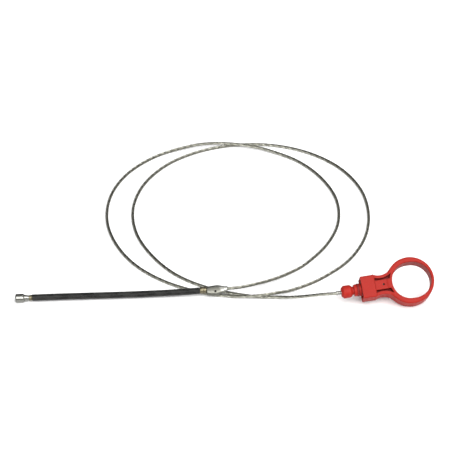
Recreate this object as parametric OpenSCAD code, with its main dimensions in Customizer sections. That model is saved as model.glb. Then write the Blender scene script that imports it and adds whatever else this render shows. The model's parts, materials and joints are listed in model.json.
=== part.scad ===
// Flexible cable dipstick: a moulded finger-ring handle with a sealing plug, about a metre of
// wire rope lying in two loops, and a close-wound spring measuring section with a steel tip.
// Frame: +Z up, z = 0 is the surface the tool lies on. The handle's axis lies over the X axis,
// with the finger ring at +X, and the origin is under the middle of the handle.

/* [Handle] */
// Outer radius of the finger ring
ring_r = 14.8; // [14.5:0.1:15.5]
// Depth of the finger ring along the ring's own axis
ring_depth = 11; // [10:0.2:12]
// Radius of the finger hole's round ends
hole_r = 11.4; // [11:0.1:11.8]
// Extra length of the finger hole along the handle
hole_stretch = 1.6; // [0:0.1:2]
// Half the width of the shroud across the handle
shroud_half_w = 7.1; // [6.9:0.1:7.3]
// Half the width of the neck at its narrowest
neck_half_w = 6.05; // [5.9:0.05:6.2]
// Width of the middle web between the pockets
web_w = 6; // [5.6:0.1:6.2]
// Depth of each pocket beside the web
pocket_depth = 3.2; // [2:0.1:3.6]

/* [Sealing plug] */
// Diameter of the plug's bead
bead_d = 8; // [7.6:0.1:8.2]
// Length of the plug's bead
bead_l = 7; // [6.5:0.1:7.4]
// Chamfer at both ends of the bead
bead_chamfer = 1.4; // [1:0.1:1.6]
// Diameter of the ribs on the stem
rib_d = 7.8; // [7.4:0.1:8]

/* [Wire rope] */
// Diameter of the wire rope
rope_d = 2; // [1.8:0.1:2]

/* [Measuring section] */
// Diameter of the close-wound spring
spring_d = 4.3; // [4.1:0.1:4.5]
// Length of the close-wound spring
spring_l = 104.6; // [104.6:0.1:105]
// Diameter of the tip cap
cap_d = 5.5; // [5.2:0.1:5.6]
// Length of the tip cap
cap_l = 5.6; // [5:0.1:6]
// Width of the flattened crimp
crimp_w = 6.6; // [6.2:0.1:6.8]
// Thickness of the flattened crimp
crimp_t = 3.6; // [3.4:0.1:3.8]
// Length of the flattened crimp
crimp_l = 13.2; // [13:0.1:13.4]

/* [Pose on the table] */
// Roll of the handle about its own axis, with the far edge up
handle_roll = 36; // [30:1:40]
// Rise of the handle's axis towards the ring
handle_tilt = 4; // [3.5:0.1:4.5]

/* [Hidden] */
$fn = 64;

// Handle, along its own axis: u runs from the rope end to the ring, u = 0 at the ring's middle
ring_back = -1;            // centre of the outer circle, a little behind the hole's middle
ring_edge = 1.2;           // rounding of the ring's rims
hole_mid = -0.3;
neck_fillet_r = 9.25;
neck_u = -19.3;            // where the neck is narrowest
neck_depth = ring_depth - 0.8;
shroud_u0 = -31.9;
shroud_u1 = -23.5;
shroud_depth = ring_depth + 0.4;
shroud_wall = 1.25;
shroud_floor_u = -27.2;
shroud_corner = 1.2;
flange_t = 1.9;
hole_wall = 1.6;
pocket_u0 = -23.1;

// Plug and cable anchor, on the handle's axis
bead_u0 = -44.4;
waist_l = 0.9;
waist_d = 5.2;
boss_d = 7.4;
boss_l = 1.8;
stem_end_u = -29.6;
shank_d = 4.2;
shank_end_u = -24.2;
seal_wire_d = 1.3;
seal_front_u = -33.9;
seal_rear_u = -31.4;
seal_proud = 0.2;          // how far a seal ring stands out of its groove
seal_groove_d = rib_d - 2 * seal_wire_d + 2 * seal_proud;
ferrule_d = 2.5;
ferrule_u0 = -47.6;
ferrule_u1 = -43.6;
anchor_d = 3.2;
anchor_u1 = -15.2;
anchor_rope_u = -19.6;
pin_u = -18;
pin_d = 1.3;
pin_half_l = 4.2;

// Where the handle lies: the lowest point of the ring's rim touches z = 0
up_u = sin(handle_tilt);
up_w = cos(handle_tilt) * sin(handle_roll);
up_n = cos(handle_tilt) * cos(handle_roll);
rim_r = ring_r - ring_edge;
rim_n = ring_depth / 2 - ring_edge;
ring_z = rim_r * norm([up_u, up_w]) + rim_n * up_n + ring_edge - ring_back * up_u;
ring_reach = rim_r * norm([cos(handle_tilt), sin(handle_tilt) * sin(handle_roll)])
    + rim_n * sin(handle_tilt) * cos(handle_roll) + ring_edge + ring_back * cos(handle_tilt);
bead_face_r = bead_d / 2 - bead_chamfer;
plug_reach = -bead_u0 * cos(handle_tilt) + bead_face_r * sin(handle_tilt);
ring_x = (plug_reach - ring_reach) / 2;

// Measuring section, along its own axis: s = 0 at the tip's face, rising over the rope
tip_at = [-228.8, 34.2];
tip_heading = -6.2;
tip_rise = 0.9;
neck_s = cap_l;
neck_wide_d = 4.4;         // where the neck meets the cap
neck_narrow_d = 3.3;
tip_collar_s = 8.4;
spring_s = 10.4;
collar_s = spring_s + spring_l;
crimp_s = collar_s + 4.2;
core_bore_d = rope_d;
crimp_lift = 0.4;          // how far the rope leaves the crimp off its middle, towards the far edge
crimp_roll = 30;
crimp_shift = -0.4;        // how far the crimp's wide end lies off the rope, towards the near edge
crimp_nose_d = 3.2;        // where the crimp closes on the rope

// Free rope from the crimp to the handle: over its own second turn at the top of the loops,
// under the crimp, and over itself again on its way to the handle
route = [
    [-97.2, 20.3, 5], [-89.5, 20.4, 4.9], [-80.5, 22.6, 4.1], [-69.5, 26.5, 2.8],
    [-57, 32.5, 1.6], [-43.5, 41, 1], [-26.5, 58, 1], [-15, 79, 1], [-11.5, 103.5, 1],
    [-17, 127.5, 1], [-29, 148, 1], [-46, 162, 1.6], [-58, 167.5, 2.6], [-71.5, 171.5, 3.4],
    [-85.5, 174, 3.3], [-100, 174.5, 2], [-122, 168.5, 1], [-143, 153, 1], [-157, 131.5, 1],
    [-163, 106, 1], [-160.5, 80.5, 1], [-150.5, 56.5, 1], [-133.5, 37, 1], [-112, 23, 1],
    [-97.5, 17.6, 1.3], [-86, 13.6, 2.8], [-76.5, 12.3, 3.6], [-66.5, 13.6, 3.2],
    [-56, 16.7, 1.7], [-37, 25, 1], [-16, 40, 1], [-1, 61, 1], [6.5, 85.5, 1], [6.5, 111.5, 1],
    [-2.5, 136, 1], [-19.5, 155.5, 1], [-42, 168, 1], [-67.5, 172.5, 1], [-93, 169, 1],
    [-116, 158, 1], [-134, 139.5, 1], [-144.5, 115.5, 1], [-146, 89.5, 1], [-139, 64.5, 1],
    [-125.5, 42.1, 1], [-105, 25.3, 1], [-81.5, 14.9, 1], [-68, 11.6, 1.4], [-58, 7.7, 3.4],
    [-49.3, 4.3, 6], [-40.8, 1.6, 8.4], [-32.3, 0, 9.4]];
ring_step = 24;            // longest gap between two rings of the rope's tube
rope_sides = 8;

// Point on the smooth curve through four neighbouring points, t from 0 to 1
function curve(a, b, c, d, t) =
    0.5 * (2 * b + (c - a) * t + (2 * a - 5 * b + 4 * c - d) * t * t
        + (3 * b - a - 3 * c + d) * t * t * t);
function route_at(i) =
    i < 0 ? 2 * route[0] - route[1]
    : i >= len(route) ? 2 * route[len(route) - 1] - route[len(route) - 2]
    : route[i];
function steps_at(i) = max(1, ceil(norm(route[i + 1] - route[i]) / ring_step));
function on_floor(p) = [p[0], p[1], max(p[2], rope_d / 2)];
rope_path = [
    for (i = [0 : len(route) - 2]) for (j = [0 : steps_at(i) - 1])
        on_floor(curve(route_at(i - 1), route_at(i), route_at(i + 1), route_at(i + 2),
            j / steps_at(i))),
    route[len(route) - 1]];

function unit(v) = v / norm(v);
function ring_side(t) = unit(cross([0, 0, 1], t));
function path_ring(p, t, r, sides) =
    let (side = ring_side(t), up = cross(t, side))
    [for (k = [0 : sides - 1]) let (a = 360 * k / sides) p + r * (cos(a) * side + sin(a) * up)];
function path_tangent(path, i) =
    unit(path[min(i + 1, len(path) - 1)] - path[max(i - 1, 0)]);

module on_handle() {
    translate([ring_x, 0, ring_z]) rotate([0, -handle_tilt, 0]) rotate([handle_roll, 0, 0])
        children();
}

// A bar of diameter d on the handle's axis, from u0 to u1
module axle(d, u0, u1, d2 = 0) {
    translate([u0, 0, 0]) rotate([0, 90, 0])
        cylinder(d1 = d, d2 = d2 > 0 ? d2 : d, h = u1 - u0);
}

module on_tip_line() {
    translate([tip_at[0], tip_at[1], cap_d / 2])
        rotate([0, -tip_rise, tip_heading]) children();
}

module hole_outline() {
    for (side = [-1, 1]) translate([hole_mid + side * hole_stretch / 2, 0]) circle(r = hole_r);
    translate([hole_mid - hole_stretch / 2, -hole_r]) square([hole_stretch, 2 * hole_r]);
}

module neck_outline() {
    difference() {
        translate([shroud_u1 - 0.5, -9.3]) square([14, 18.6]);
        for (side = [-1, 1]) translate([neck_u, side * (neck_half_w + neck_fillet_r)])
            circle(r = neck_fillet_r);
    }
}

module pocket_outline(side) {
    difference() {
        translate([pocket_u0, side > 0 ? web_w / 2 : -web_w / 2 - 5]) square([11, 5]);
        translate([neck_u, side * (neck_half_w + neck_fillet_r)])
            circle(r = neck_fillet_r + flange_t);
        translate([hole_mid - hole_stretch / 2, 0]) circle(r = hole_r + hole_wall);
    }
}

module rounded_bar(w, h, corner, u0, u1) {
    for (wy = [-1, 1]) for (nz = [-1, 1])
        translate([0, wy * (w / 2 - corner), nz * (h / 2 - corner)]) axle(2 * corner, u0, u1);
    translate([u0, -w / 2 + corner, -h / 2]) cube([u1 - u0, w - 2 * corner, h]);
    translate([u0, -w / 2, -h / 2 + corner]) cube([u1 - u0, w, h - 2 * corner]);
}

module ring_blank() {
    translate([ring_back, 0, 0]) rotate_extrude() union() {
        translate([0, -ring_depth / 2]) square([rim_r, ring_depth]);
        translate([0, -rim_n]) square([ring_r, 2 * rim_n]);
        for (n = [-rim_n, rim_n]) translate([rim_r, n]) circle(r = ring_edge);
    }
}

module handle() {
    color("firebrick") on_handle() difference() {
        union() {
            ring_blank();
            linear_extrude(neck_depth, center = true) neck_outline();
            rounded_bar(2 * shroud_half_w, shroud_depth, shroud_corner, shroud_u0, shroud_u1);
        }
        linear_extrude(2 * ring_depth, center = true) hole_outline();
        for (side = [-1, 1]) {
            translate([0, 0, neck_depth / 2 - pocket_depth])
                linear_extrude(ring_depth) pocket_outline(side);
            translate([0, 0, -neck_depth / 2 + pocket_depth - ring_depth])
                linear_extrude(ring_depth) pocket_outline(side);
        }
        rounded_bar(2 * (shroud_half_w - shroud_wall), shroud_depth - 2 * shroud_wall, 0.6,
            shroud_u0 - 1, shroud_floor_u);
        axle(shank_d, shroud_floor_u - 1, shank_end_u);
        axle(anchor_d, shank_end_u - 1, anchor_u1);
        translate([pin_u, 0, 0]) cylinder(d = pin_d, h = 2 * ring_depth, center = true);
    }
}

module sealing_plug() {
    bead_u1 = bead_u0 + bead_l;
    boss_u0 = bead_u1 + waist_l;
    rib_u0 = boss_u0 + boss_l;
    color("crimson") on_handle() difference() {
        union() {
            axle(bead_d - 2 * bead_chamfer, bead_u0, bead_u0 + bead_chamfer, bead_d);
            axle(bead_d, bead_u0 + bead_chamfer, bead_u1 - bead_chamfer);
            axle(bead_d, bead_u1 - bead_chamfer, bead_u1, bead_d - 2 * bead_chamfer);
            axle(waist_d, bead_u1 - 0.3, boss_u0);
            axle(boss_d, boss_u0, rib_u0);
            axle(rib_d, rib_u0, stem_end_u);
            axle(shank_d, stem_end_u, shank_end_u);
        }
        for (u = [seal_front_u, seal_rear_u]) seal_groove(u);
        axle(rope_d, bead_u0 - 1, shank_end_u + 1);
        axle(ferrule_d, bead_u0 - 1, ferrule_u1);
    }
}

module seal_groove(u) {
    difference() {
        axle(rib_d + 1, u - seal_wire_d / 2, u + seal_wire_d / 2);
        axle(seal_groove_d, u - seal_wire_d, u + seal_wire_d);
    }
}

module seal_ring(u) {
    color("darkred") on_handle() translate([u, 0, 0]) rotate([0, 90, 0]) rotate_extrude()
        translate([seal_groove_d / 2 + seal_wire_d / 2, 0]) circle(d = seal_wire_d);
}

module plug_seal_front() { seal_ring(seal_front_u); }
module plug_seal_rear() { seal_ring(seal_rear_u); }

module cable_pin() {
    color("dimgray") on_handle() translate([pin_u, 0, 0])
        cylinder(d = pin_d, h = 2 * pin_half_l, center = true);
}

module cable_end_sleeve() {
    color("silver") on_handle() difference() {
        axle(anchor_d, shank_end_u, anchor_u1);
        axle(rope_d, shank_end_u - 1, anchor_rope_u);
        translate([pin_u, 0, 0]) cylinder(d = pin_d, h = 2 * anchor_d, center = true);
    }
}

module handle_rope() {
    color("darkgray") on_handle() axle(rope_d, ferrule_u0, anchor_rope_u);
}

module entry_ferrule() {
    color("lightgray") on_handle() difference() {
        axle(ferrule_d, ferrule_u0, ferrule_u1);
        axle(rope_d, ferrule_u0 - 1, ferrule_u1 + 1);
    }
}

module wire_rope() {
    rings = [for (i = [0 : len(rope_path) - 1])
        path_ring(rope_path[i], path_tangent(rope_path, i), rope_d / 2, rope_sides)];
    last = len(rings) - 1;
    sides = [for (i = [0 : last - 1]) for (k = [0 : rope_sides - 1])
        let (k2 = (k + 1) % rope_sides)
        [i * rope_sides + k, i * rope_sides + k2, (i + 1) * rope_sides + k2,
            (i + 1) * rope_sides + k]];
    start_cap = [for (k = [rope_sides - 1 : -1 : 0]) k];
    end_cap = [for (k = [0 : rope_sides - 1]) last * rope_sides + k];
    color("darkkhaki") polyhedron(
        points = [for (ring = rings) for (p = ring) p],
        faces = concat([start_cap], sides, [end_cap]), convexity = 10);
}

// The flattened tube: full width over the spring end, drawn in to the rope at the other
module crimp_shape() {
    hull() {
        for (s = [crimp_t / 2, crimp_l * 0.5]) for (w = [-1, 1])
            translate([s, crimp_shift + w * (crimp_w - crimp_t) / 2, 0])
                sphere(d = crimp_t, $fn = 32);
        translate([crimp_l - crimp_nose_d / 2, crimp_lift, 0])
            sphere(d = crimp_nose_d, $fn = 32);
    }
}

module crimp_tube() {
    color("silver") on_tip_line() translate([crimp_s, 0, 0]) rotate([crimp_roll, 0, 0])
        difference() {
            crimp_shape();
            crimp_rope_bar(0);
        }
}

// The rope's slanting run through the crimp
module crimp_rope_bar(extra) {
    rotate([0, 0, atan2(crimp_lift, crimp_l)])
        translate([-extra, 0, 0]) rotate([0, 90, 0])
            cylinder(d = rope_d, h = norm([crimp_l, crimp_lift]) + extra);
}

module crimp_rope() {
    color("darkgray") on_tip_line() translate([crimp_s, 0, 0]) rotate([crimp_roll, 0, 0])
        crimp_rope_bar(0);
}

module bushing(d, s0, s1) {
    on_tip_line() difference() {
        axle(d, s0, s1);
        axle(core_bore_d, s0 - 1, s1 + 1);
    }
}

module sleeve_collar() { color("tan") bushing(spring_d, collar_s, crimp_s); }

module black_spring() { color("black") bushing(spring_d, spring_s, collar_s); }

module core_rope() { color("darkgray") on_tip_line() axle(rope_d, 2, crimp_s); }

module tip_collar() { color("tan") bushing(spring_d - 0.5, tip_collar_s, spring_s); }

module tip_neck() {
    color("gainsboro") on_tip_line() difference() {
        axle(neck_wide_d, neck_s, tip_collar_s, neck_narrow_d);
        axle(core_bore_d, neck_s - 1, tip_collar_s + 1);
    }
}

module tip_cap() {
    chamfer = 0.5;
    color("silver") on_tip_line() difference() {
        union() {
            axle(cap_d - 2 * chamfer, 0, chamfer, cap_d);
            axle(cap_d, chamfer, cap_l - chamfer);
            axle(cap_d, cap_l - chamfer, cap_l, cap_d - 2 * chamfer);
        }
        axle(rope_d, 2, cap_l + 1);
    }
}

handle();
sealing_plug();
plug_seal_front();
plug_seal_rear();
cable_pin();
cable_end_sleeve();
handle_rope();
entry_ferrule();
wire_rope();
crimp_tube();
crimp_rope();
sleeve_collar();
black_spring();
core_rope();
tip_collar();
tip_neck();
tip_cap();
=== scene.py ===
import json
import math

import bpy
import numpy as np
from mathutils import Matrix, Vector


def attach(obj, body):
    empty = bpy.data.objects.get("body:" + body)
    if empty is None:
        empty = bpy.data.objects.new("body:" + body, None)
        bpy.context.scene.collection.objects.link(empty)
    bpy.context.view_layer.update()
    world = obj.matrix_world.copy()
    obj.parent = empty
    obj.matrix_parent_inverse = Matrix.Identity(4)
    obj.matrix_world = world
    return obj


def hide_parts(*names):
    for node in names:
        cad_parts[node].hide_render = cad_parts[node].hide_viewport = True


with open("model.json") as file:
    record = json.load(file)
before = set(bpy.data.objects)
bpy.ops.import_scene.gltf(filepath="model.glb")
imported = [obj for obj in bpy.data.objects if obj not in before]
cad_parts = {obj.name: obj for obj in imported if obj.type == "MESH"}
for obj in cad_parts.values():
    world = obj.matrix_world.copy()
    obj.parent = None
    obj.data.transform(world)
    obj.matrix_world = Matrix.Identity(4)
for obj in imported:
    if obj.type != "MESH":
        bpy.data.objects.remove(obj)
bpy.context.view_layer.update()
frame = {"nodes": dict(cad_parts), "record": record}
MM = 0.001

# ---------------------------------------------------------------- camera

LOOK_AT = Vector((-0.0879, 0.0892, 0.0))
CAMERA_DISTANCE = 1.4625
CAMERA_ELEVATION = math.radians(38.8)
CAMERA_HEADING = math.radians(9)
CAMERA_LENS = 180


def make_camera():
    camera = bpy.data.objects.new("camera", bpy.data.cameras.new("camera"))
    camera.data.lens = CAMERA_LENS
    camera.rotation_euler = (math.pi / 2 - CAMERA_ELEVATION, 0, -CAMERA_HEADING)
    ahead = camera.rotation_euler.to_matrix() @ Vector((0, 0, -1))
    camera.location = LOOK_AT - ahead * CAMERA_DISTANCE
    bpy.context.scene.collection.objects.link(camera)
    bpy.context.scene.camera = camera


make_camera()

# ---------------------------------------------------------------- local frames

MOUNTS = {m["name"]: m for m in frame["record"]["mounts"]}
BEAD_MIDDLE_U = -40.9
TIP_MOUNT_S = 2.8


def frame_matrix(along, across, up, origin):
    """The matrix that takes a local point in millimetres to the row frame in metres."""
    turn = Matrix((along, across, up)).transposed().to_4x4()
    return Matrix.Translation(origin) @ turn @ Matrix.Scale(MM, 4)


def handle_frame():
    bead = MOUNTS["plug_bead"]
    along = -Vector(bead["axis"]).normalized()
    ring_axis = Vector(MOUNTS["hang_hole"]["axis"])
    across = ring_axis.cross(along).normalized()
    origin = Vector(bead["pos_m"]) - along * BEAD_MIDDLE_U * MM
    return frame_matrix(along, across, along.cross(across), origin)


def tip_frame():
    tip = MOUNTS["tip_end"]
    along = -Vector(tip["axis"]).normalized()
    across = Vector((0, 0, 1)).cross(along).normalized()
    origin = Vector(tip["pos_m"]) - along * TIP_MOUNT_S * MM
    return frame_matrix(along, across, along.cross(across), origin)


HANDLE = handle_frame()
TIP = tip_frame()

# ---------------------------------------------------------------- sizes, in millimetres

RING_R = 14.8
RING_BACK = -1.0
RING_DEPTH = 11.0
RING_EDGE = 1.2
HOLE_R = 11.4
HOLE_STRETCH = 1.6
HOLE_MID = -0.3
HOLE_EDGE = 1.0
HOLE_WALL = 1.6
NECK_U = -19.3
NECK_HALF_W = 6.05
NECK_FILLET_R = 9.25
NECK_DEPTH = 10.2
NECK_EDGE = 0.5
WEB_W = 6.0
POCKET_DEPTH = 3.2
POCKET_U0 = -23.1
POCKET_L = 11.0
POCKET_W = 5.0
FLANGE_T = 1.9
SHROUD_U0 = -31.9
SHROUD_U1 = -23.5
SHROUD_HALF_W = 7.1
SHROUD_DEPTH = 11.4
SHROUD_CORNER = 1.2
SHROUD_WALL = 1.25
SHROUD_FLOOR_U = -27.2

BEAD_U0 = -44.4
BEAD_U1 = -37.4
BEAD_R = 4.0
BEAD_CHAMFER = 1.4
WAIST_R = 2.6
BOSS_U0 = -36.5
BOSS_R = 3.7
RIB_U0 = -34.7
RIB_R = 3.9
SEAL_U = {"front_seal": -33.9, "rear_seal": -31.4}
SEAL_WIRE_R = 0.65
SEAL_GROOVE_R = 2.8
STEM_END_U = -29.6
SHANK_R = 2.1
SHANK_END_U = -24.2
ANCHOR_R = 1.6
ANCHOR_END_U = -15.2
ANCHOR_ROPE_U = -19.6
PIN_U = -18.0
PIN_R = 0.65
PIN_HALF_L = 4.2
FERRULE_U0 = -47.6
FERRULE_U1 = -43.6
FERRULE_R = 1.25

ROPE_R = 1.0
CAP_L = 5.6
CAP_R = 2.75
TIP_COLLAR_S = 8.4
SPRING_S = 10.4
SPRING_END_S = 115.0
SPRING_R = 2.15
SPRING_WIRE_R = 0.3
CRIMP_S = 119.2
CRIMP_L = 13.2
CRIMP_HALF_W = 3.3
CRIMP_HALF_T = 1.8
CRIMP_LIFT = 0.4
CRIMP_SHIFT = -0.6
CRIMP_WIDEST = 0.46
CRIMP_NOSE_R = 1.6
CRIMP_ROLL = math.radians(30)
ROPE_TIP_S = 2.0
SAG = 1.0
SAG_TO_PEAK = 27 / 4  # brings the peak of t * t * (1 - t) to 1

# ---------------------------------------------------------------- the rope's route, in metres

ROUTE = [
    (-0.0972, 0.0203, 0.0050), (-0.0895, 0.0204, 0.0049), (-0.0805, 0.0226, 0.0041),
    (-0.0695, 0.0265, 0.0028), (-0.0570, 0.0325, 0.0016), (-0.0435, 0.0410, 0.0010),
    (-0.0265, 0.0580, 0.0010), (-0.0150, 0.0790, 0.0010), (-0.0115, 0.1035, 0.0010),
    (-0.0170, 0.1275, 0.0010), (-0.0290, 0.1480, 0.0010), (-0.0460, 0.1620, 0.0016),
    (-0.0580, 0.1675, 0.0026), (-0.0715, 0.1715, 0.0034), (-0.0855, 0.1740, 0.0033),
    (-0.1000, 0.1745, 0.0020), (-0.1220, 0.1685, 0.0010), (-0.1430, 0.1530, 0.0010),
    (-0.1570, 0.1315, 0.0010), (-0.1630, 0.1060, 0.0010), (-0.1605, 0.0805, 0.0010),
    (-0.1505, 0.0565, 0.0010), (-0.1335, 0.0370, 0.0010), (-0.1120, 0.0230, 0.0010),
    (-0.0975, 0.0176, 0.0013), (-0.0860, 0.0136, 0.0028), (-0.0765, 0.0123, 0.0036),
    (-0.0665, 0.0136, 0.0032), (-0.0560, 0.0167, 0.0017), (-0.0370, 0.0250, 0.0010),
    (-0.0160, 0.0400, 0.0010), (-0.0010, 0.0610, 0.0010), (0.0065, 0.0855, 0.0010),
    (0.0065, 0.1115, 0.0010), (-0.0025, 0.1360, 0.0010), (-0.0195, 0.1555, 0.0010),
    (-0.0420, 0.1680, 0.0010), (-0.0675, 0.1725, 0.0010), (-0.0930, 0.1690, 0.0010),
    (-0.1160, 0.1580, 0.0010), (-0.1340, 0.1395, 0.0010), (-0.1445, 0.1155, 0.0010),
    (-0.1460, 0.0895, 0.0010), (-0.1390, 0.0645, 0.0010), (-0.1255, 0.0421, 0.0010),
    (-0.1050, 0.0253, 0.0010), (-0.0815, 0.0149, 0.0010), (-0.0680, 0.0116, 0.0014),
    (-0.0580, 0.0077, 0.0034), (-0.0493, 0.0043, 0.0060), (-0.0408, 0.0016, 0.0084),
    (-0.0323, 0.0000, 0.0094)]
ROUTE_STEPS = 12
ROPE_STEP = 1.0  # millimetres between two rings of the rope's mesh
HANDLE_RUN_POINTS = 20
CRIMP_RUN_POINTS = 10
SECTION_RUN_POINTS = 120
LEAST_GAP = 0.05  # points closer than this are taken as one


def smooth_route():
    """The points of the same smooth curve that the CAD tube follows, in metres."""
    points = [np.array(p) for p in ROUTE]
    points = [2 * points[0] - points[1], *points, 2 * points[-1] - points[-2]]
    line = []
    for a, b, c, d in zip(points, points[1:], points[2:], points[3:]):
        for t in np.arange(ROUTE_STEPS) / ROUTE_STEPS:
            line.append(0.5 * (2 * b + (c - a) * t + (2 * a - 5 * b + 4 * c - d) * t * t
                               + (3 * b - a - 3 * c + d) * t ** 3))
    line.append(points[-2])
    line = np.array(line)
    line[:, 2] = np.maximum(line[:, 2], ROPE_R * MM)
    return line


def section_sag(s):
    """How far the springy section's middle hangs below the straight line between its ends."""
    t = np.clip((s - SPRING_S) / (CRIMP_S - SPRING_S), 0, 1)
    return SAG * SAG_TO_PEAK * t * t * (1 - t)


def to_row(points, matrix):
    """Local points in millimetres as points of the row frame in metres."""
    m = np.array(matrix)
    return points @ m[:3, :3].T + m[:3, 3]


def section_line(s):
    """Points on the measuring section's own sagging centreline, in metres."""
    line = to_row(np.stack([s, 0 * s, 0 * s], axis=1), TIP)
    line[:, 2] -= section_sag(s) * MM
    return line


def crimp_points(s, w, n):
    """Points of the crimp's own rolled frame in the measuring section's frame, in millimetres."""
    y = w * math.cos(CRIMP_ROLL) - n * math.sin(CRIMP_ROLL)
    z = w * math.sin(CRIMP_ROLL) + n * math.cos(CRIMP_ROLL)
    return np.stack([CRIMP_S + s, y, z], axis=-1)


def rope_line():
    """The whole rope's centreline in metres: from its anchor in the handle, out along the free
    route, and through the crimp and the spring to the tip."""
    in_handle = np.array([[u, 0, 0]
                          for u in np.linspace(ANCHOR_ROPE_U, FERRULE_U0, HANDLE_RUN_POINTS)])
    t = np.linspace(1, 0, CRIMP_RUN_POINTS)[1:]
    in_crimp = to_row(crimp_points(t * CRIMP_L, t * CRIMP_LIFT, 0 * t), TIP)
    in_section = section_line(np.linspace(CRIMP_S, ROPE_TIP_S, SECTION_RUN_POINTS)[1:])
    line = np.concatenate(
        [to_row(in_handle, HANDLE), smooth_route()[::-1], in_crimp, in_section])
    gaps = np.linalg.norm(np.diff(line, axis=0), axis=1)
    line = line[np.concatenate([[True], gaps > LEAST_GAP * MM])]
    along = np.concatenate([[0], np.cumsum(np.linalg.norm(np.diff(line, axis=0), axis=1))])
    at = np.linspace(0, along[-1], round(along[-1] / (ROPE_STEP * MM)) + 1)
    return np.stack([np.interp(at, along, line[:, k]) for k in range(3)], axis=1)


# ---------------------------------------------------------------- shader helpers


class Look:
    """A procedural material, put together one node at a time."""

    def __init__(self, name, metallic=0.0, ior=1.5, specular=0.5):
        self.material = bpy.data.materials.new(name)
        self.material.use_nodes = True
        self.tree = self.material.node_tree
        self.surface = self.tree.nodes["Principled BSDF"]
        self.surface.inputs["Metallic"].default_value = metallic
        self.surface.inputs["IOR"].default_value = ior
        self.surface.inputs["Specular IOR Level"].default_value = specular

    def put(self, value, socket):
        if isinstance(value, bpy.types.NodeSocket):
            self.tree.links.new(value, socket)
        else:
            socket.default_value = value

    def node(self, kind, inputs, **settings):
        made = self.tree.nodes.new("ShaderNode" + kind)
        for key, value in settings.items():
            setattr(made, key, value)
        for key, value in inputs.items():
            self.put(value, made.inputs[key])
        return made

    def math(self, operation, a, b=0.0):
        return self.node("Math", {0: a, 1: b}, operation=operation).outputs[0]

    def field(self, name):
        """A float or vector that the mesh carries."""
        return self.node("Attribute", {}, attribute_name=name)

    def noise(self, where, scale, detail=3.0, roughness=0.5):
        return self.node("TexNoise", {"Vector": where, "Scale": scale, "Detail": detail,
                                      "Roughness": roughness}).outputs["Fac"]

    def fade(self, value, low, high, to_low=0.0, to_high=1.0):
        """value brought from low..high to to_low..to_high, held at both ends."""
        inputs = {0: value, 1: low, 2: high, 3: to_low, 4: to_high}
        return self.node("MapRange", inputs).outputs[0]

    def mix(self, share, a, b):
        made = self.node("Mix", {}, data_type="RGBA")
        self.put(share, made.inputs["Factor"])
        self.put(a, made.inputs[6])
        self.put(b, made.inputs[7])
        return made.outputs[2]

    def stretched(self, where, x, y, z):
        return self.node("VectorMath", {0: where, 1: (x, y, z)}, operation="MULTIPLY").outputs[0]

    def parts(self, where):
        return self.node("SeparateXYZ", {0: where}).outputs

    def bump(self, height, strength, distance):
        made = self.node("Bump", {"Height": height, "Strength": strength, "Distance": distance})
        self.put(made.outputs[0], self.surface.inputs["Normal"])

    def finish(self, colour, roughness):
        self.put(colour, self.surface.inputs["Base Color"])
        self.put(roughness, self.surface.inputs["Roughness"])
        return self.material


def grey(level, tint=(1.0, 1.0, 1.0)):
    return (level * tint[0], level * tint[1], level * tint[2], 1.0)


STEEL_TINT = (1.0, 1.0, 0.92)
# Oily tint for the dark gaps between wires and for the painted shade between strands.
OIL_AND_SHADE_TINT = (1.0, 0.95, 0.78)
# Near-black red: painted shade for concave corners and the pockets' floors.
PAINTED_SHADE_RED = (0.1, 0.004, 0.004, 1.0)
RUBBED_RED = (0.56, 0.1, 0.075, 1.0)


def moulded_red(name, lit, shade, scale):
    """Satin moulded plastic: flow-mottled colour, pale rubbed edges, painted shade in concave
    corners and deep in the pockets, fine grain.
    """
    look = Look(name, ior=1.45, specular=0.12)
    place = look.field("place").outputs["Vector"]
    edge = look.field("edge").outputs["Fac"]
    cloud = look.noise(place, 0.16 * scale, 4.0)
    speckle = look.noise(place, 2.4 * scale, 3.0, 0.6)
    base = look.mix(look.fade(cloud, 0.35, 0.65, 0.0, 0.28), lit, shade)
    pocket_shade = look.field("pocket_shade").outputs["Fac"]
    # Painted shade: concave corners and the pockets' floors are darkened towards near-black red.
    corner = look.math("MAXIMUM", look.fade(edge, -0.02, -0.22), pocket_shade)
    base = look.mix(look.math("MULTIPLY", corner, 0.75), base, PAINTED_SHADE_RED)
    worn = look.math("MULTIPLY", look.fade(edge, 0.05, 0.3), look.fade(speckle, 0.4, 0.7))
    base = look.mix(look.math("MULTIPLY", worn, 0.35), base, RUBBED_RED)
    scuffs = look.noise(look.stretched(place, 0.5, 2.2, 0.5), 1.1 * scale, 6.0, 0.65)
    rough = look.fade(scuffs, 0.35, 0.7, 0.42, 0.6)
    look.bump(look.math("ADD", speckle, look.math("MULTIPLY", cloud, 1.5)), 0.25, 0.00006)
    return look.finish(base, rough)


def seal_rubber():
    """Dark red rubber with a dusty bloom."""
    look = Look("seal rubber", ior=1.45, specular=0.3)
    place = look.field("place").outputs["Vector"]
    dust = look.noise(place, 1.8, 5.0, 0.65)
    base = look.mix(look.fade(dust, 0.35, 0.75), (0.12, 0.006, 0.007, 1.0),
                    (0.21, 0.018, 0.017, 1.0))
    look.bump(look.noise(place, 6.0, 2.0), 0.3, 0.00004)
    return look.finish(base, look.fade(dust, 0.3, 0.7, 0.5, 0.72))


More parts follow.
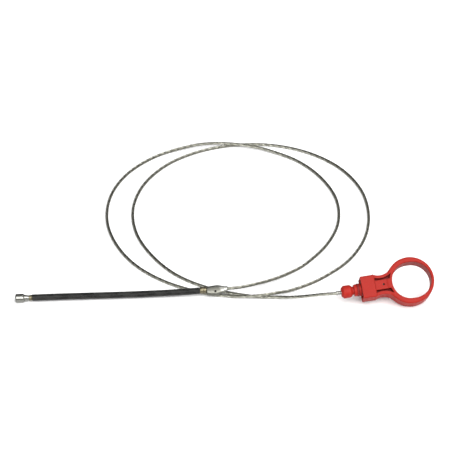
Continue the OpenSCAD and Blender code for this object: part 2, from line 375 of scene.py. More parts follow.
def turned_steel(name, bright, dull, grooves):
    """Turned metal: fine tool marks round the axis, a few stains, painted shade in its grooves
    and inner corners, and a soft sheen.
    """
    look = Look(name, metallic=1.0)
    place = look.field("place").outputs["Vector"]
    along = look.parts(place)[0]
    marks = look.math("SINE", look.math("MULTIPLY", along, grooves))
    drift = look.noise(look.stretched(place, 3.0, 0.25, 0.25), 1.0, 4.0)
    stain = look.noise(place, 0.7, 5.0, 0.6)
    base = look.mix(look.fade(stain, 0.45, 0.75, 0.0, 0.7),
                    grey(bright, STEEL_TINT), grey(dull, STEEL_TINT))
    # Painted shade: grooves and inner corners darkened towards brownish black.
    corner = look.fade(look.field("edge").outputs["Fac"], -0.02, -0.25)
    base = look.mix(look.math("MULTIPLY", corner, 0.7), base, grey(0.06, (1.0, 0.9, 0.75)))
    look.bump(look.math("ADD", look.math("MULTIPLY", marks, 0.5), drift), 0.2, 0.00003)
    return look.finish(base, look.fade(stain, 0.3, 0.7, 0.16, 0.3))


def pressed_steel():
    """The crimp: bright scuffed steel; where the dies pressed it is duller and also darker as
    painted shade, which leaves its upper far corner lighter; painted shade in its punch mark and
    creases.
    """
    look = Look("pressed steel", metallic=1.0)
    place = look.field("place").outputs["Vector"]
    edge = look.field("edge").outputs["Fac"]
    scuff = look.noise(look.stretched(place, 0.5, 2.0, 2.0), 1.6, 6.0, 0.65)
    stain = look.noise(place, 0.45, 4.0)
    base = look.mix(look.fade(stain, 0.4, 0.7, 0.0, 0.6), grey(0.27, STEEL_TINT),
                    grey(0.17, (1.0, 0.98, 0.86)))
    # The pressed mask darkens the faces' lower side and middle: a duller die mark and painted
    # shade, leaving the upper far corner lighter.
    pressed = look.field("pressed").outputs["Fac"]
    base = look.mix(pressed, base, grey(0.12, (1.0, 0.99, 0.86)))
    # Painted shade in the punch mark and in creases.
    hollow_shade = look.math("MAXIMUM", look.fade(edge, -0.03, -0.2), look.field("hollow_shade").outputs["Fac"])
    base = look.mix(hollow_shade, base, grey(0.02, (1.0, 0.9, 0.8)))
    look.bump(scuff, 0.35, 0.00006)
    return look.finish(base, look.math("ADD", look.fade(scuff, 0.3, 0.7, 0.2, 0.36),
                                       look.math("MULTIPLY", pressed, 0.12)))


def braze():
    """Brazed joint: brass with heat tint and a slightly lumpy skin."""
    look = Look("braze", metallic=1.0)
    place = look.field("place").outputs["Vector"]
    heat = look.noise(place, 0.9, 5.0, 0.6)
    base = look.mix(look.fade(heat, 0.35, 0.7), (0.165, 0.15, 0.1, 1.0),
                    (0.08, 0.068, 0.043, 1.0))
    tarnish = look.noise(place, 3.2, 3.0)
    base = look.mix(look.fade(tarnish, 0.55, 0.75, 0.0, 0.6), base, (0.16, 0.1, 0.06, 1.0))
    look.bump(heat, 0.5, 0.0001)
    return look.finish(base, look.fade(tarnish, 0.3, 0.7, 0.32, 0.55))


def black_wire():
    """Black-oxide spring wire: oiled, blacker between the coils, rubbed grey on their crests."""
    look = Look("black spring wire", specular=0.22)
    place = look.field("place").outputs["Vector"]
    crest = look.field("crest").outputs["Fac"]
    patch = look.noise(look.stretched(place, 0.12, 0.5, 0.5), 1.0, 5.0, 0.6)
    fine = look.noise(place, 3.0, 3.0)
    rubbed = look.math("MULTIPLY", look.fade(crest, 0.6, 1.0), look.fade(patch, 0.3, 0.7))
    base = look.mix(look.math("MULTIPLY", rubbed, 0.75), grey(0.006),
                    grey(0.05, (1.0, 0.99, 0.92)))
    look.bump(fine, 0.3, 0.00003)
    return look.finish(base, look.fade(look.math("ADD", patch, look.math("MULTIPLY", fine, 0.3)),
                                       0.4, 0.9, 0.2, 0.36))


WIRES_ROUND_STRAND = 6.0
WIRE_TWIST = 1.35  # radians to the millimetre


def rope_wire():
    """Galvanised wire rope: bright wire crests, wires across each strand with oily dark gaps
    between them, and painted shade in the valleys between the strands and on the core.
    """
    look = Look("rope wire", metallic=1.0)
    place = look.field("place").outputs["Vector"]
    lay = look.parts(look.field("lay").outputs["Vector"])
    crest = look.field("crest").outputs["Fac"]
    turn = look.math("ARCTAN2", lay[2], lay[1])
    round_strand = look.math("MULTIPLY", turn, WIRES_ROUND_STRAND)
    along_rope = look.math("MULTIPLY", lay[0], WIRE_TWIST)
    wires = look.math("SINE", look.math("ADD", round_strand, along_rope))
    grime = look.noise(look.stretched(place, 0.25, 1.0, 1.0), 0.55, 5.0, 0.6)
    gap = look.math("MULTIPLY", look.fade(wires, -0.35, -1.0), 0.6)
    base = look.mix(look.fade(grime, 0.35, 0.7), grey(0.31, (1.0, 0.99, 0.86)),
                    grey(0.2, (1.0, 0.985, 0.8)))
    base = look.mix(gap, base, grey(0.06, OIL_AND_SHADE_TINT))
    # Painted shade: darker towards the core, in the valleys between the strands.
    base = look.mix(look.fade(crest, 0.6, 0.15), base, grey(0.02, OIL_AND_SHADE_TINT))
    look.bump(wires, 0.35, 0.00004)
    return look.finish(base, look.fade(grime, 0.3, 0.7, 0.22, 0.38))


def hidden_steel():
    """The cable's end sleeve, shut inside the handle: drawn steel with grey scale."""
    look = Look("drawn steel", metallic=1.0)
    where = look.node("TexCoord", {}).outputs["Object"]
    scale = look.noise(where, 900.0, 4.0)
    base = look.mix(look.fade(scale, 0.35, 0.65), grey(0.6, STEEL_TINT), grey(0.35))
    return look.finish(base, look.fade(scale, 0.3, 0.7, 0.3, 0.5))


RED = moulded_red("moulded red plastic", lit=(0.27, 0.014, 0.009, 1.0),
                  shade=(0.22, 0.01, 0.007, 1.0), scale=1.0)
PLUG_RED = moulded_red("plug red plastic", lit=(0.29, 0.014, 0.009, 1.0),
                       shade=(0.17, 0.007, 0.005, 1.0), scale=2.0)
SEAL_RUBBER = seal_rubber()
BRIGHT_STEEL = turned_steel("turned steel", bright=0.21, dull=0.11, grooves=34.0)
# The pin's steel is darkened as painted shade, so its hole reads dark.
SHADED_PIN_STEEL = turned_steel("pin steel darkened as painted shade", bright=0.06, dull=0.03, grooves=20.0)
FERRULE_STEEL = turned_steel("plated ferrule", bright=0.23, dull=0.15, grooves=14.0)
CRIMP_STEEL = pressed_steel()
BRAZE = braze()
BLACK_WIRE = black_wire()
ROPE_WIRE = rope_wire()

# ---------------------------------------------------------------- mesh helpers


def neighbour_mean(points, faces):
    """The mean of each point's neighbours along the faces' edges."""
    total = np.zeros_like(points)
    count = np.zeros(len(points))
    for a, b in zip(faces.T, np.roll(faces, -1, axis=1).T):
        for i, j in ((a, b), (b, a)):
            count += np.bincount(i, minlength=len(points))
            for k in range(3):
                total[:, k] += np.bincount(i, weights=points[j, k], minlength=len(points))
    return total / count[:, None]


def point_normals(points, faces):
    corner = [points[faces[:, i]] for i in range(4)]
    face_normal = np.cross(corner[2] - corner[0], corner[3] - corner[1])
    normal = np.zeros_like(points)
    for i in range(4):
        for k in range(3):
            normal[:, k] += np.bincount(faces[:, i], weights=face_normal[:, k],
                                        minlength=len(points))
    return normal / np.maximum(np.linalg.norm(normal, axis=1), 1e-12)[:, None]


def edge_field(points, faces, reach):
    """How convex the surface is at each point, from about -1 in a groove to 1 on a sharp edge."""
    away = points - neighbour_mean(points, faces)
    value = (away * point_normals(points, faces)).sum(1) / reach
    for _ in range(2):
        value = neighbour_mean(np.stack([value] * 3, axis=1), faces)[:, 0] * 0.5 + value * 0.5
    return value


def make_piece(name, points, faces, matrix, material, fields=None, replaces=()):
    """A shaded mesh piece from local points in millimetres, riding on the part's one body."""
    mesh = bpy.data.meshes.new(name)
    mesh.from_pydata(to_row(points, matrix).tolist(), [], faces.tolist())
    mesh.shade_smooth()
    for key, values in {"place": points, **(fields or {})}.items():
        values = np.asarray(values, np.float32)
        vector = values.ndim == 2
        made = mesh.attributes.new(key, "FLOAT_VECTOR" if vector else "FLOAT", "POINT")
        made.data.foreach_set("vector" if vector else "value", values.ravel())
    mesh.materials.append(material)
    piece = bpy.data.objects.new(name, mesh)
    bpy.context.scene.collection.objects.link(piece)
    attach(piece, "root")
    if replaces:
        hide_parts(*replaces)
    return piece


def grid_faces(rows, columns, closed_rows=False, start=0):
    """Quads over a grid of points whose columns close on themselves."""
    last = rows if closed_rows else rows - 1
    i, j = np.meshgrid(np.arange(last), np.arange(columns), indexing="ij")
    i2, j2 = (i + 1) % rows, (j + 1) % columns
    quads = np.stack([i * columns + j, i2 * columns + j, i2 * columns + j2, i * columns + j2], -1)
    return quads.reshape(-1, 4) + start


CORNER_STEPS = 5


def rounded_outline(corners):
    """A closed outline of corners (along, radius, rounding), each rounded by its own radius."""
    outline = []
    for i, (u, r, rounding) in enumerate(corners):
        here = np.array((u, r), float)
        before = np.array(corners[i - 1][:2], float) - here
        after = np.array(corners[(i + 1) % len(corners)][:2], float) - here
        before, after = before / np.linalg.norm(before), after / np.linalg.norm(after)
        angle = math.acos(np.clip(before @ after, -1, 1))
        if rounding <= 0 or angle > math.pi - 0.01:
            outline.append(here)
            continue
        back = rounding / math.tan(angle / 2)
        middle = before + after
        centre = here + middle / np.linalg.norm(middle) * rounding / math.sin(angle / 2)
        start, end = here + before * back - centre, here + after * back - centre
        sweep = math.atan2(start[0] * end[1] - start[1] * end[0], start @ end)
        for t in np.linspace(0, sweep, CORNER_STEPS):
            c, s = math.cos(t), math.sin(t)
            outline.append(centre + np.array((start[0] * c - start[1] * s,
                                              start[0] * s + start[1] * c)))
    return np.array(outline)


def with_rings_between(outline, gap):
    """The closed outline with more points on its long straight stretches."""
    full = []
    for a, b in zip(outline, np.roll(outline, -1, axis=0)):
        pieces = max(1, math.ceil(np.linalg.norm(b - a) / gap))
        full += [a + (b - a) * k / pieces for k in range(pieces)]
    return np.array(full)


def turned(name, corners, sides, gap, matrix, material, replaces, reach=0.05, ripple=None):
    """A piece turned about its frame's first axis from a closed outline that clears the axis."""
    outline = with_rings_between(rounded_outline(corners), gap)
    angle = np.arange(sides) * 2 * math.pi / sides
    along = np.repeat(outline[:, 0], sides)
    radius = np.repeat(outline[:, 1], sides)
    turn = np.tile(angle, len(outline))
    if ripple:
        along, radius = ripple(along, radius, turn)
    points = np.stack([along, radius * np.cos(turn), radius * np.sin(turn)], axis=1)
    faces = grid_faces(len(outline), sides, closed_rows=True)
    fields = {"edge": edge_field(points, faces, reach)}
    return make_piece(name, points, faces, matrix, material, fields, replaces)


# ---------------------------------------------------------------- solids from distances

NEWTON_STEPS = 4
RELAX_STEPS = 3
RELAX_SHARE = 0.6
LEAST_SLOPE = 0.2  # keeps a step finite where distance() hardly changes
PROBE = 0.02


def slope(distance, points):
    """The gradient of distance() at each point."""
    sides = []
    for k in range(3):
        step = np.zeros(3)
        step[k] = PROBE
        sides.append(distance(points + step) - distance(points - step))
    return np.stack(sides, axis=-1) / (2 * PROBE)


def settle(distance, points):
    """The points moved along the gradient onto the surface where distance() is zero."""
    for _ in range(NEWTON_STEPS):
        gradient = slope(distance, points)
        size = np.maximum((gradient ** 2).sum(-1), LEAST_SLOPE)
        points = points - gradient * (distance(points) / size)[:, None]
    return points


def skin(distance, low, high, cell):
    """Even quads over the surface where distance() is zero, inside the box from low to high."""
    counts = np.ceil((np.array(high) - low) / cell).astype(int) + 1
    axes = [low[k] + cell * np.arange(counts[k]) for k in range(3)]
    inside = distance(np.stack(np.meshgrid(*axes, indexing="ij"), axis=-1)) < 0
    full = np.zeros(counts - 1, int)
    for i in (0, 1):
        for j in (0, 1):
            for k in (0, 1):
                full += inside[i:counts[0] - 1 + i, j:counts[1] - 1 + j, k:counts[2] - 1 + k]
    mixed = (full > 0) & (full < 8)
    number = np.full(counts - 1, -1)
    number[mixed] = np.arange(mixed.sum())
    points = np.array(low) + (np.argwhere(mixed) + 0.5) * cell
    quads = []
    for axis in range(3):
        one = inside.take(range(counts[axis] - 1), axis)
        two = inside.take(range(1, counts[axis]), axis)
        b, c = (axis + 1) % 3, (axis + 2) % 3
        for outward in (True, False):
            at = np.argwhere(one & ~two if outward else two & ~one)
            corner = []
            for db, dc in ((0, 0), (1, 0), (1, 1), (0, 1)):
                cell_at = at.copy()
                cell_at[:, b] -= db
                cell_at[:, c] -= dc
                corner.append(number[tuple(cell_at.T)])
            quads.append(np.stack(corner if outward else corner[::-1], axis=1))
    faces = np.concatenate(quads)
    points = settle(distance, points)
    for _ in range(RELAX_STEPS):
        pull = neighbour_mean(points, faces) - points
        normal = point_normals(points, faces)
        points = points + RELAX_SHARE * (pull - (pull * normal).sum(1)[:, None] * normal)
        points = settle(distance, points)
    return points, faces


def join(a, b, blend):
    """The union of two solids with a fillet where they meet."""
    bridge = np.maximum(blend - np.abs(a - b), 0) / blend
    return np.minimum(a, b) - bridge * bridge * blend / 4


def cut(a, b, edge):
    """Solid a with b taken away, and the edge that leaves rounded."""
    return -join(-a, b, edge)


def both(a, b, edge):
    """What two solids share, with the edge rounded."""
    return -join(-a, -b, edge)


def slab(outline, height, half_height, edge):
    """A solid of a flat outline's distance and a height, with its rims rounded."""
    x, y = outline + edge, np.abs(height) - half_height + edge
    return np.minimum(np.maximum(x, y), 0) + np.hypot(np.maximum(x, 0), np.maximum(y, 0)) - edge


def block(x, y, half_x, half_y, corner):
    """A rectangle's distance, with rounded corners."""
    x, y = np.abs(x) - half_x + corner, np.abs(y) - half_y + corner
    return np.minimum(np.maximum(x, y), 0) + np.hypot(np.maximum(x, 0), np.maximum(y, 0)) - corner


def shaped(name, distance, low, high, cell, matrix, material, replaces):
    points, faces = skin(distance, low, high, cell)
    fields = {"edge": edge_field(points, faces, cell / 2)}
    return make_piece(name, points, faces, matrix, material, fields, replaces)


# ---------------------------------------------------------------- rope


def carried_frames(line):
    """Two directions across a line at each of its points, carried along it without twist."""
    tangent = np.gradient(line, axis=0)
    tangent /= np.linalg.norm(tangent, axis=1)[:, None]
    side = np.cross([0, 0, 1], tangent[0])
    sides = []
    for t in tangent:
        side = side - t * (side @ t)
        side = side / np.linalg.norm(side)
        sides.append(side)
    sides = np.array(sides)
    return sides, np.cross(tangent, sides)


STRANDS = 6
STRAND_SIDES = 8
STRAND_R = ROPE_R / 3
STRAND_LAY = 14.0  # length of rope in which a strand goes once round
CORE_EVERY = 4  # the straight core needs fewer rings than the strands


def strand_tube(line, across, along, centre, turn):
    """One tube beside the line, in the line's carried frame: its centre's two offsets from the
    line and the angle its ring starts at, for each point of the line."""
    around = np.arange(STRAND_SIDES) * 2 * math.pi / STRAND_SIDES
    ring = turn[:, None] + around[None, :]
    y = centre[0][:, None] + STRAND_R * np.cos(ring)
    z = centre[1][:, None] + STRAND_R * np.sin(ring)
    side, up = across
    at = line[:, None, :] + MM * (y[..., None] * side[:, None, :] + z[..., None] * up[:, None, :])
    s = np.repeat(along, STRAND_SIDES)
    place = np.stack([s, y.ravel(), z.ravel()], axis=1)
    lay = np.stack([s, np.tile(np.cos(around), len(line)), np.tile(np.sin(around), len(line))],
                   axis=1)
    return at.reshape(-1, 3), place, lay


def make_rope(line):
    """Six strands laid round a core strand, along the whole line."""
    side, up = carried_frames(line)
    along = np.arange(len(line)) * ROPE_STEP
    tubes = []
    for strand in range(STRANDS):
        turn = 2 * math.pi * (along / STRAND_LAY + strand / STRANDS)
        centre = 2 * STRAND_R * np.cos(turn), 2 * STRAND_R * np.sin(turn)
        tubes.append(strand_tube(line, (side, up), along, centre, turn))
    core = slice(None, None, CORE_EVERY)
    zero = np.zeros(len(line[core]))
    tubes.append(strand_tube(line[core], (side[core], up[core]), along[core], (zero, zero), zero))

    faces = []
    count = 0
    for points, _, _ in tubes:
        rows = len(points) // STRAND_SIDES
        faces.append(grid_faces(rows, STRAND_SIDES, start=count)[:, ::-1])
        count += len(points)
    points, place, lay = (np.concatenate(parts) for parts in zip(*tubes))
    core_reach = 1 / 3  # a strand's radius as a share of the rope's, where the crest field is 0
    crest = (np.hypot(place[:, 1], place[:, 2]) / ROPE_R - core_reach) * 1.5
    return make_piece("stranded_rope", points / MM, np.concatenate(faces), Matrix.Scale(MM, 4),
                      ROPE_WIRE, {"place": place, "lay": lay, "crest": crest},
                      ["wire_rope", "handle_rope", "crimp_rope", "core_rope"])


# ---------------------------------------------------------------- spring

COIL_SIDES = 8
COIL_STEPS = 22
COIL_PITCH = 2 * SPRING_WIRE_R * 1.004  # coils all but touch


def make_spring():
    """The close-wound spring, on the measuring section's sagging line."""
    turns = (SPRING_END_S - SPRING_S - 2 * SPRING_WIRE_R) / COIL_PITCH
    steps = int(turns * COIL_STEPS)
    turn = np.linspace(0, turns * 2 * math.pi, steps + 1)
    s = SPRING_S + SPRING_WIRE_R + COIL_PITCH * turn / (2 * math.pi)
    around = np.arange(COIL_SIDES) * 2 * math.pi / COIL_SIDES
    radius = SPRING_R - SPRING_WIRE_R + SPRING_WIRE_R * np.cos(around)[None, :]
    along = s[:, None] + SPRING_WIRE_R * np.sin(around)[None, :]
    place = np.stack([along, radius * np.cos(turn)[:, None], radius * np.sin(turn)[:, None]],
                     axis=-1).reshape(-1, 3)
    points = place.copy()
    points[:, 2] -= section_sag(place[:, 0])
    crest = np.tile((np.cos(around) + 1) / 2, len(turn))
    return make_piece("coil_spring", points, grid_faces(len(turn), COIL_SIDES), TIP, BLACK_WIRE,
                      {"place": place, "crest": crest}, ["black_spring"])


# ---------------------------------------------------------------- measuring section's fittings


BRAZE_SIDES = 40
BRAZE_GAP = 0.25
BRAZE_LUMP = 0.035
BRAZE_SKIN_R = ROPE_R + 0.3  # only what lies outside this radius is lumpy


def lumpy(along, radius, turn):
    """A brazed skin's slight unevenness, none of it proud of the turned outline."""
    wave = np.sin(3 * turn + 2.1 * along) + np.sin(5 * turn - 3.7 * along) + 2
    return along, radius - np.where(radius > BRAZE_SKIN_R, BRAZE_LUMP * wave, 0)


def make_collar(name, corners, node):
    return turned(name, corners, BRAZE_SIDES, BRAZE_GAP, TIP, BRAZE, [node],
                  ripple=lumpy)


def make_collars():
    """The brazed rings at the two ends of the spring."""
    bore = ROPE_R + 0.05
    tip = [(TIP_COLLAR_S, bore, 0), (SPRING_S + 0.4, bore, 0), (SPRING_S + 0.4, 1.62, 0.2),
           (SPRING_S, 1.85, 0.3), (TIP_COLLAR_S, 1.75, 0.3)]
    sleeve = [(SPRING_END_S - 0.3, bore, 0), (CRIMP_S, bore, 0), (CRIMP_S, SPRING_R - 0.1, 0.3),
              (CRIMP_S - 1.6, SPRING_R, 0.6), (SPRING_END_S, SPRING_R - 0.03, 0.3)]
    return [make_collar("tip_braze", tip, "tip_collar"),
            make_collar("sleeve_braze", sleeve, "sleeve_collar")]


NECK_WIDE_R = 2.2
NECK_NARROW_R = 1.65


def make_tip_stem():
    """The neck, drawn in from the cap's shoulder to the brazed collar."""
    bore = ROPE_R + 0.02
    corners = [(CAP_L, bore, 0), (TIP_COLLAR_S, bore, 0), (TIP_COLLAR_S, NECK_NARROW_R, 0.1),
               (TIP_COLLAR_S - 0.8, NECK_NARROW_R, 1.5), (CAP_L, NECK_WIDE_R, 0)]
    return turned("tip_stem", corners, 48, 0.2, TIP, BRIGHT_STEEL, ["tip_neck"])


CAP_FRONT_CHAMFER = 0.5
CAP_SHOULDER = 0.45
DIMPLE = (4.95, -1.2, 2.25)
DIMPLE_R = 0.42
DRILL_R = 0.55
DRILL_STEEPNESS = 0.8
CAP_CELL = 0.1
CAP_REACH = CAP_R + 0.45


def cap_distance(p):
    """The cap: chamfered front with a centre drilling, a punched dimple, and the rope's bore."""
    s, y, z = p[..., 0], p[..., 1], p[..., 2]
    radius = np.hypot(y, z)
    body = slab(radius - CAP_R, s - CAP_L / 2, CAP_L / 2, 0.12)
    front = (radius - CAP_R + CAP_FRONT_CHAMFER - s) / math.sqrt(2)
    shoulder = (radius - CAP_R + CAP_SHOULDER - (CAP_L - s)) / math.sqrt(2)
    body = both(both(body, front, 0.2), shoulder, 0.35)
    centre_drill = np.hypot(radius, s * DRILL_STEEPNESS) - DRILL_R
    body = cut(body, centre_drill, 0.1)
    from_dimple = (s - DIMPLE[0]) ** 2 + (y - DIMPLE[1]) ** 2 + (z - DIMPLE[2]) ** 2
    body = cut(body, np.sqrt(from_dimple) - DIMPLE_R, 0.1)
    bore = np.maximum(radius - ROPE_R - 0.02, ROPE_TIP_S - s)
    return cut(body, bore, 0.06)


def make_tip_cap():
    low = (-0.4, -CAP_REACH, -CAP_REACH)
    high = (CAP_L + 0.4, CAP_REACH, CAP_REACH)
    return shaped("turned_tip_cap", cap_distance, low, high, CAP_CELL, TIP, BRIGHT_STEEL,
                  ["tip_cap"])


# The pressed mask stops at these shares: the die mark and its painted shade, leaving the upper
# far corner lighter.
CRIMP_PRESSED_W = 0.75  # where the dies' flat mark ends, as a share of the half width
CRIMP_PRESSED_T = 0.72  # and as a share of the length
PUNCH = (5.4, -1.6)
PUNCH_R = 0.65
PUNCH_DEPTH = 1.2
PUNCH_TAPER = 0.2
CRIMP_SQUARENESS = 2.4  # 2 would make its section an ellipse
CRIMP_BEND = 2.2  # how late along its length its middle line moves over to the rope
CRIMP_CELL = 0.13
CRIMP_MARGIN = 0.3


def crimp_outline(s, w):
    """How far along the crimp a point lies, its offset from the middle line, the half width."""
    t = np.clip(s / CRIMP_L, 0, 1)
    swell = np.where(t < CRIMP_WIDEST, 1 - 0.4 * (1 - t / CRIMP_WIDEST) ** 2,
                     np.cos(math.pi / 2 * (t - CRIMP_WIDEST) / (1 - CRIMP_WIDEST)) ** 2)
    half_w = CRIMP_NOSE_R + (CRIMP_HALF_W - CRIMP_NOSE_R) * swell
    across = w - CRIMP_SHIFT - (CRIMP_LIFT - CRIMP_SHIFT) * t ** CRIMP_BEND
    return t, across, half_w


def crimp_distance(p):
    """A tube pressed flat: full width near the collar, drawn in to the rope at its far end."""
    s, w, n = p[..., 0], p[..., 1], p[..., 2]
    t, across, half_w = crimp_outline(s, w)
    half_t = CRIMP_NOSE_R + (CRIMP_HALF_T - CRIMP_NOSE_R) * np.clip(1.6 - 1.6 * t, 0, 1)
    level = ((np.abs(across) / half_w) ** CRIMP_SQUARENESS
             + (np.abs(n) / half_t) ** CRIMP_SQUARENESS) ** (1 / CRIMP_SQUARENESS)
    tube = (level - 1) * half_t * 0.8
    body = both(tube, np.abs(s - CRIMP_L / 2) - CRIMP_L / 2, 0.5)
    punch = np.hypot(s - PUNCH[0], w - PUNCH[1]) - PUNCH_R
    punch = punch + PUNCH_TAPER * np.maximum(CRIMP_HALF_T - n, 0)
    punch = np.maximum(punch, CRIMP_HALF_T - PUNCH_DEPTH - n)
    body = cut(body, punch, 0.12)
    rope_at = w - CRIMP_LIFT * t
    bore = np.hypot(rope_at, n) - ROPE_R - 0.04
    return cut(body, bore, 0.12)


def make_crimp():
    low = (-CRIMP_MARGIN, CRIMP_SHIFT - CRIMP_HALF_W - CRIMP_MARGIN,
           -CRIMP_HALF_T - CRIMP_MARGIN)
    high = (CRIMP_L + CRIMP_MARGIN, CRIMP_HALF_W + CRIMP_MARGIN, CRIMP_HALF_T + CRIMP_MARGIN)
    points, faces = skin(crimp_distance, low, high, CRIMP_CELL)
    rolled = TIP @ Matrix.Translation((CRIMP_S, 0, 0)) @ Matrix.Rotation(CRIMP_ROLL, 4, "X")
    from_punch = np.hypot(points[:, 0] - PUNCH[0], points[:, 1] - PUNCH[1]) / PUNCH_R
    # Where the punch mark's painted shade lies.
    hollow_shade = np.clip((1.15 - from_punch) / 0.3, 0, 1) * (points[:, 2] > 0)
    t, across, half_w = crimp_outline(points[:, 0], points[:, 1])
    # The die mark, which also carries painted shade over the lower side and middle.
    pressed = (np.clip((CRIMP_PRESSED_W - across / half_w) / 0.3, 0, 1)
               * np.clip((CRIMP_PRESSED_T - t - 0.1 * across / half_w) / 0.12, 0, 1))
    fields = {"edge": edge_field(points, faces, CRIMP_CELL / 2), "hollow_shade": hollow_shade, "pressed": pressed}
    return make_piece("crimp_sleeve", points, faces, rolled, CRIMP_STEEL, fields,
                      ["crimp_tube"])


# ---------------------------------------------------------------- handle

# How quickly the painted pocket shade deepens below the web's face.
POCKET_SHADE_FADE = 1.2
NECK_BLOCK_AHEAD = 6.5  # from the shroud's back face to the middle of the neck's block
NECK_BLOCK_HALF_L = 7.0
NECK_BLOCK_HALF_W = 9.3
HANDLE_CELL = 0.24
HANDLE_MARGIN = 0.6


def handle_distance(p):
    """The moulding: ring, necked block and shroud, less the pockets, hole, cavity and bores."""
    u, w, n = p[..., 0], p[..., 1], p[..., 2]
    ring = slab(np.hypot(u - RING_BACK, w) - RING_R, n, RING_DEPTH / 2, RING_EDGE)
    hole_u = u - HOLE_MID
    hole = np.hypot(hole_u - np.clip(hole_u, -HOLE_STRETCH / 2, HOLE_STRETCH / 2), w) - HOLE_R
    side = np.hypot(u - NECK_U, np.abs(w) - NECK_HALF_W - NECK_FILLET_R)
    neck_middle = SHROUD_U1 + NECK_BLOCK_AHEAD
    neck = block(u - neck_middle, w, NECK_BLOCK_HALF_L, NECK_BLOCK_HALF_W, 0.3)
    neck = both(neck, NECK_FILLET_R - side, 0.3)
    neck = slab(neck, n, NECK_DEPTH / 2, NECK_EDGE)
    shroud_u = (SHROUD_U0 + SHROUD_U1) / 2
    shroud = slab(block(w, n, SHROUD_HALF_W, SHROUD_DEPTH / 2, SHROUD_CORNER), u - shroud_u,
                  (SHROUD_U1 - SHROUD_U0) / 2, 0.35)
    body = join(join(ring, neck, 0.8), shroud, 0.35)

    pocket = block(u - POCKET_U0 - POCKET_L / 2, np.abs(w) - (WEB_W + POCKET_W) / 2,
                   POCKET_L / 2, POCKET_W / 2, 0.3)
    pocket = both(pocket, NECK_FILLET_R + FLANGE_T - side, 0.5)
    pocket = both(pocket, HOLE_R + HOLE_WALL - np.hypot(hole_u + HOLE_STRETCH / 2, w), 0.5)
    pocket = both(pocket, NECK_DEPTH / 2 - POCKET_DEPTH - np.abs(n), 0.5)
    body = cut(body, pocket, 0.35)
    body = cut(body, hole, HOLE_EDGE)

    cavity = block(w, n, SHROUD_HALF_W - SHROUD_WALL, SHROUD_DEPTH / 2 - SHROUD_WALL, 0.6)
    body = cut(body, both(cavity, u - SHROUD_FLOOR_U, 0.3), 0.35)
    radius = np.hypot(w, n)
    body = cut(body, np.maximum(radius - SHANK_R, u - SHANK_END_U), 0.1)
    body = cut(body, np.maximum(radius - ANCHOR_R, u - ANCHOR_END_U), 0.1)
    return cut(body, np.hypot(u - PIN_U, w) - PIN_R, 0.25)


def pocket_painted_shade(points):
    """How far down in the handle's pockets each point lies, where painted shade darkens the
    plastic.
    """
    u, w, n = points.T
    side = np.hypot(u - NECK_U, np.abs(w) - NECK_HALF_W - NECK_FILLET_R)
    down = np.clip((NECK_DEPTH / 2 - 0.6 - np.abs(n)) / POCKET_SHADE_FADE, 0, 1)
    inside = ((side > NECK_FILLET_R + FLANGE_T - 0.4) & (np.abs(w) > WEB_W / 2 - 0.4)
              & (np.abs(u - POCKET_U0 - POCKET_L / 2) < POCKET_L / 2 + 0.4)
              & (np.hypot(u - HOLE_MID, w) > HOLE_R + HOLE_WALL / 2))
    return down * inside


def make_handle():
    low = (SHROUD_U0 - HANDLE_MARGIN, -RING_R - HANDLE_MARGIN, -SHROUD_DEPTH / 2 - HANDLE_MARGIN)
    high = (RING_R + RING_BACK + HANDLE_MARGIN, RING_R + HANDLE_MARGIN,
            SHROUD_DEPTH / 2 + HANDLE_MARGIN)
    points, faces = skin(handle_distance, low, high, HANDLE_CELL)
    fields = {"edge": edge_field(points, faces, HANDLE_CELL / 2), "pocket_shade": pocket_painted_shade(points)}
    return make_piece("finger_ring_handle", points, faces, HANDLE, RED, fields,
                      ["handle"])


def make_plug():
    """The bead, waist, boss, grooved stem and shank, turned in one."""
    bore = ROPE_R + 0.02
    ferrule_bore = FERRULE_R + 0.02
    corners = [(BEAD_U0, ferrule_bore, 0.1), (FERRULE_U1, ferrule_bore, 0), (FERRULE_U1, bore, 0),
               (SHANK_END_U, bore, 0), (SHANK_END_U, SHANK_R, 0.2), (STEM_END_U, SHANK_R, 0),
               (STEM_END_U, RIB_R, 0.2)]
    for u in sorted(SEAL_U.values(), reverse=True):
        corners += [(u + SEAL_WIRE_R, RIB_R, 0.1), (u + SEAL_WIRE_R, SEAL_GROOVE_R, 0.1),
                    (u - SEAL_WIRE_R, SEAL_GROOVE_R, 0.1), (u - SEAL_WIRE_R, RIB_R, 0.05)]
    corners += [(RIB_U0, RIB_R, 0.06), (RIB_U0, BOSS_R, 0.2), (BOSS_U0, BOSS_R, 0.25),
                (BOSS_U0, WAIST_R, 0.2), (BEAD_U1, WAIST_R, 0.15),
                (BEAD_U1 - BEAD_CHAMFER, BEAD_R, 0.7), (BEAD_U0 + BEAD_CHAMFER, BEAD_R, 0.7),
                (BEAD_U0, BEAD_R - BEAD_CHAMFER, 0.5)]
    return turned("plug_body", corners, 96, 0.25, HANDLE, PLUG_RED,
                  ["sealing_plug"], reach=0.06)


SEAL_ROUND = 24
SEAL_SIDES = 96
SEAL_RIDGE = 0.03


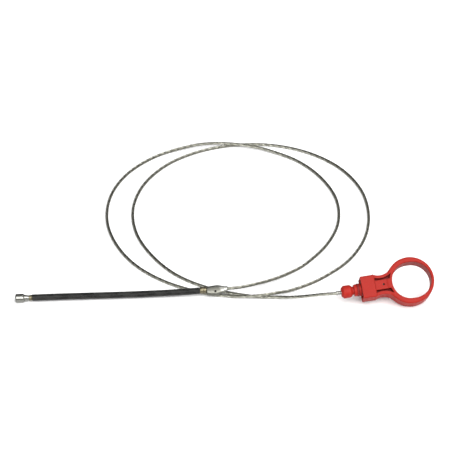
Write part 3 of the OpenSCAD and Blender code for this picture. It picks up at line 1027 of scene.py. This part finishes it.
def make_seal(name, node):
    """A seal ring with the faint parting ridge that its mould leaves."""
    around = np.arange(SEAL_ROUND) * 2 * math.pi / SEAL_ROUND
    ridge = SEAL_RIDGE * (np.abs(np.cos(around)) > 0.995)
    outline = np.stack([SEAL_U[name] + SEAL_WIRE_R * np.sin(around),
                        SEAL_GROOVE_R + SEAL_WIRE_R + (SEAL_WIRE_R - SEAL_RIDGE + ridge)
                        * np.cos(around)], axis=1)
    turn = np.arange(SEAL_SIDES) * 2 * math.pi / SEAL_SIDES
    points = np.stack([np.repeat(outline[:, 0], SEAL_SIDES),
                       np.outer(outline[:, 1], np.cos(turn)).ravel(),
                       np.outer(outline[:, 1], np.sin(turn)).ravel()], axis=1)
    faces = grid_faces(len(outline), SEAL_SIDES, closed_rows=True)[:, ::-1]
    return make_piece(name, points, faces, HANDLE, SEAL_RUBBER, None, [node])


PIN_BORE_R = 0.34
PIN_SLOT_HALF_W = 0.1
PIN_CELL = 0.08


def pin_distance(p):
    """A slotted spring pin, seen end-on in its hole."""
    u, w, n = p[..., 0] - PIN_U, p[..., 1], p[..., 2]
    radius = np.hypot(u, w)
    tube = slab(radius - PIN_R + 0.02, n, PIN_HALF_L, 0.12)
    tube = cut(tube, radius - PIN_BORE_R, 0.05)
    slot = np.maximum(np.abs(w) - PIN_SLOT_HALF_W, -u)
    return cut(tube, slot, 0.05)


def make_pin():
    low = (PIN_U - 0.9, -0.9, -PIN_HALF_L - 0.3)
    high = (PIN_U + 0.9, 0.9, PIN_HALF_L + 0.3)
    return shaped("spring_pin", pin_distance, low, high, PIN_CELL, HANDLE, SHADED_PIN_STEEL,
                  ["cable_pin"])


FERRULE_RING_U = (-45.2, -46.3)
FERRULE_RING_HALF_L = 0.3
FERRULE_RING_FLOOR = 0.1  # half the length of a pressed ring's floor
FERRULE_RING_DEPTH = 0.1


def make_ferrule():
    """The swaged tube round the rope's start, with two pressed rings."""
    bore = ROPE_R + 0.01
    corners = [(FERRULE_U0, bore, 0.06), (FERRULE_U1, bore, 0), (FERRULE_U1, FERRULE_R, 0)]
    pressed_r = FERRULE_R - FERRULE_RING_DEPTH
    for u in FERRULE_RING_U:
        corners += [(u + FERRULE_RING_HALF_L, FERRULE_R, 0.1),
                    (u + FERRULE_RING_FLOOR, pressed_r, 0.1),
                    (u - FERRULE_RING_FLOOR, pressed_r, 0.1),
                    (u - FERRULE_RING_HALF_L, FERRULE_R, 0.1)]
    corners += [(FERRULE_U0, FERRULE_R, 0.15)]
    return turned("rope_ferrule", corners, 40, 0.3, HANDLE, FERRULE_STEEL,
                  ["entry_ferrule"], reach=0.03)


# ---------------------------------------------------------------- the pieces, the rope first

rope_path = rope_line()
rope = make_rope(rope_path)
ferrule = make_ferrule()
crimp = make_crimp()
spring = make_spring()
collars = make_collars()
tip_stem = make_tip_stem()
tip_cap = make_tip_cap()

make_handle()
make_plug()
make_seal("front_seal", "plug_seal_front")
make_seal("rear_seal", "plug_seal_rear")
make_pin()
sleeve = frame["nodes"]["cable_end_sleeve"]
sleeve.data.materials.clear()
sleeve.data.materials.append(hidden_steel())

# ---------------------------------------------------------------- floor, light and backdrop

FLOOR_HALF = 5.0
FLOOR_GAP = 0.0002
LIGHTS_AIM = Vector((-0.09, 0.08, 0.0))
FRONT_POWER = 94.0
OVERHEAD_POWER = 36.0
BACKDROP_STRENGTH = 0.14


def make_floor():
    look = Look("pale floor")
    where = look.node("TexCoord", {}).outputs["Object"]
    cloud = look.noise(where, 1.5, 3.0)
    material = look.finish(look.mix(cloud, grey(0.93), grey(0.9)), 0.8)
    mesh = bpy.data.meshes.new("floor")
    corners = [(x * FLOOR_HALF, y * FLOOR_HALF, -FLOOR_GAP)
               for x, y in ((-1, -1), (1, -1), (1, 1), (-1, 1))]
    mesh.from_pydata(corners, [], [(0, 1, 2, 3)])
    mesh.materials.append(material)
    floor = bpy.data.objects.new("floor", mesh)
    bpy.context.scene.collection.objects.link(floor)


def make_light(name, place, size, power):
    light = bpy.data.lights.new(name, "AREA")
    light.shape = "RECTANGLE"
    light.size, light.size_y = size
    light.energy = power
    made = bpy.data.objects.new(name, light)
    made.location = place
    made.rotation_euler = (LIGHTS_AIM - Vector(place)).to_track_quat("-Z", "Y").to_euler()
    bpy.context.scene.collection.objects.link(made)


def make_backdrop(strength):
    world = bpy.data.worlds.new("soft studio")
    world.use_nodes = True
    nodes = world.node_tree.nodes
    nodes["Background"].inputs["Color"].default_value = grey(1.0)
    nodes["Background"].inputs["Strength"].default_value = strength
    bpy.context.scene.world = world


make_floor()
make_light("front softbox", (0.2, -1.5, 1.7), (2.6, 1.6), FRONT_POWER)
make_light("overhead softbox", (0.1, -0.2, 1.9), (3.4, 1.6), OVERHEAD_POWER)
make_backdrop(BACKDROP_STRENGTH)
bpy.context.scene.view_settings.view_transform = "Standard"
